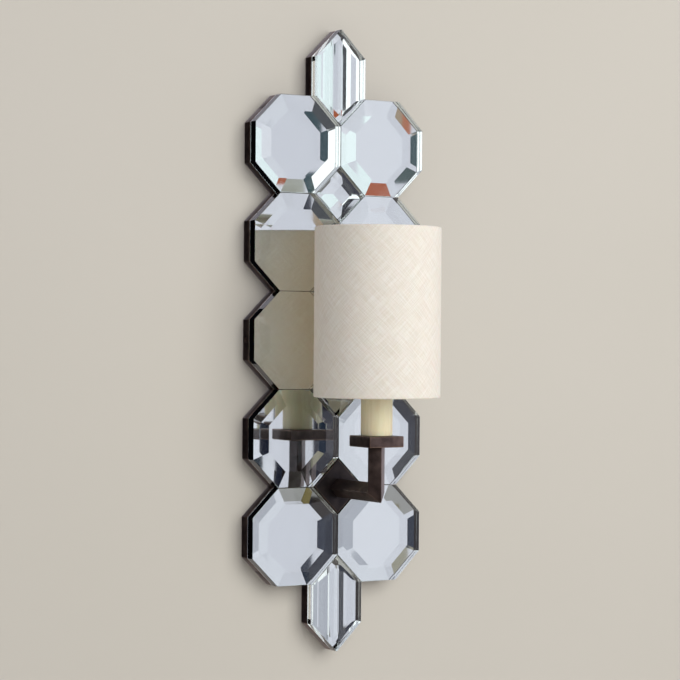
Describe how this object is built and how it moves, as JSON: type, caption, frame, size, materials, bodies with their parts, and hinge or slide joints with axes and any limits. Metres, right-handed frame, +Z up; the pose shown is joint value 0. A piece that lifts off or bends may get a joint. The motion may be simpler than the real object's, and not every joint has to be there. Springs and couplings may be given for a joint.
{
  "type": "wall sconce candle light",
  "caption": "Electric candle wall light: mirror-backed bevelled crystals on a scalloped bronze plate, square arm and pan, candle sleeve and linen drum shade.",
  "frame": {"origin": "centre of the wall bracket's two screw slots on the wall plane, which is the middle of the back plate", "axes": "+Z up, +Y into the wall, the room is on the -Y side, +X to the right as seen from the room"},
  "size_m": [0.1696, 0.1375, 0.5446],
  "materials": {
    "zinc_plated_steel": "bright zinc plate",
    "brass_fittings": "plain turned and pressed brass",
    "dark_bronze": "dark bronze patina, satin lacquer",
    "white_nylon": "moulded",
    "brown_insulation": "extruded",
    "blue_insulation": "extruded",
    "green_yellow_insulation": "extruded, striped",
    "clear_adhesive": "cured silicone",
    "silvering": "silvered behind glass",
    "crystal": "cut and polished, bevelled",
    "black_bakelite": "moulded",
    "ivory_candle": "ivory drip-free candle tube, satin",
    "bulb_glass": "clear blown glass",
    "led_filament": "phosphor coated",
    "linen": "natural slubbed linen, bias cut",
    "shade_lining": "stiff laminate",
    "white_enamelled_wire": "white powder coat",
    "spring_steel": "nickel plated"
  },
  "bodies": {
    "sconce": {"adhesive_pads": "clear_adhesive", "arm_boss": "dark_bronze", "arm_stem": "zinc_plated_steel", "arm_tube": "dark_bronze", "back_plate": "dark_bronze", "drip_pan": "dark_bronze", "earth_screw": "brass_fittings", "earth_wire": "green_yellow_insulation", "holder_contact": "brass_fittings", "holder_riser": "zinc_plated_steel", "holder_screw_shell": "brass_fittings", "lamp_holder_body": "black_bakelite", "live_wire": "brown_insulation", "neutral_wire": "blue_insulation", "octagon_crystal_1_left": "crystal", "octagon_crystal_1_right": "crystal", "octagon_crystal_2_left": "crystal", "octagon_crystal_2_right": "crystal", "octagon_crystal_3_left": "crystal", "octagon_crystal_3_right": "crystal", "octagon_crystal_4_left": "crystal", "octagon_crystal_4_right": "crystal", "octagon_crystal_5_left": "crystal", "octagon_crystal_5_right": "crystal", "octagon_mirror_backs": "silvering", "plate_rim_bottom": "dark_bronze", "plate_rim_left": "dark_bronze", "plate_rim_right": "dark_bronze", "plate_rim_top": "dark_bronze", "pointed_crystal_bottom": "crystal", "pointed_crystal_top": "crystal", "pointed_mirror_backs": "silvering", "post_tube": "dark_bronze", "riser_nut": "zinc_plated_steel", "square_crystal_lower": "crystal", "square_crystal_middle": "crystal", "square_crystal_upper": "crystal", "square_mirror_backs": "silvering", "stem_nut": "zinc_plated_steel", "stem_washer": "zinc_plated_steel", "terminal_block": "white_nylon", "wall_bracket": "zinc_plated_steel"},
    "bulb": {"bulb_glass": "bulb_glass", "bulb_cap": "brass_fittings", "bulb_insulator": "black_bakelite", "bulb_contact": "brass_fittings", "bulb_stem": "bulb_glass", "bulb_filaments": "led_filament"},
    "candle_sleeve": {"candle_sleeve": "ivory_candle"},
    "shade": {"shade_fabric": "linen", "shade_lining": "shade_lining", "shade_top_ring": "white_enamelled_wire", "shade_bottom_ring": "white_enamelled_wire", "bulb_clip": "spring_steel", "clip_arms": "white_enamelled_wire"},
    "left_screw": {"left_fixing_screw": "dark_bronze"},
    "right_screw": {"right_fixing_screw": "dark_bronze"}
  },
  "joints": [
    {"name": "sleeve_turn", "type": "hinge", "parent": "sconce", "child": "candle_sleeve", "pos_m": [0, -0.0835, -0.08], "axis": [0, 0, 1], "continuous": true},
    {"name": "bulb_turn", "type": "hinge", "parent": "sconce", "child": "bulb", "pos_m": [0, -0.0835, 0], "axis": [0, 0, 1], "range_deg": [0, 1080]},
    {"name": "shade_lift", "type": "slide", "parent": "bulb", "child": "shade", "axis": [0, 0, 1], "range_m": [0, 0.15]},
    {"name": "left_screw_turn", "type": "hinge", "parent": "sconce", "child": "left_screw", "pos_m": [-0.0815, -0.0055, 0], "axis": [-1, 0, 0], "range_deg": [0, 1080]},
    {"name": "right_screw_turn", "type": "hinge", "parent": "sconce", "child": "right_screw", "pos_m": [0.0815, -0.0055, 0], "axis": [1, 0, 0], "range_deg": [0, 1080]}
  ]
}
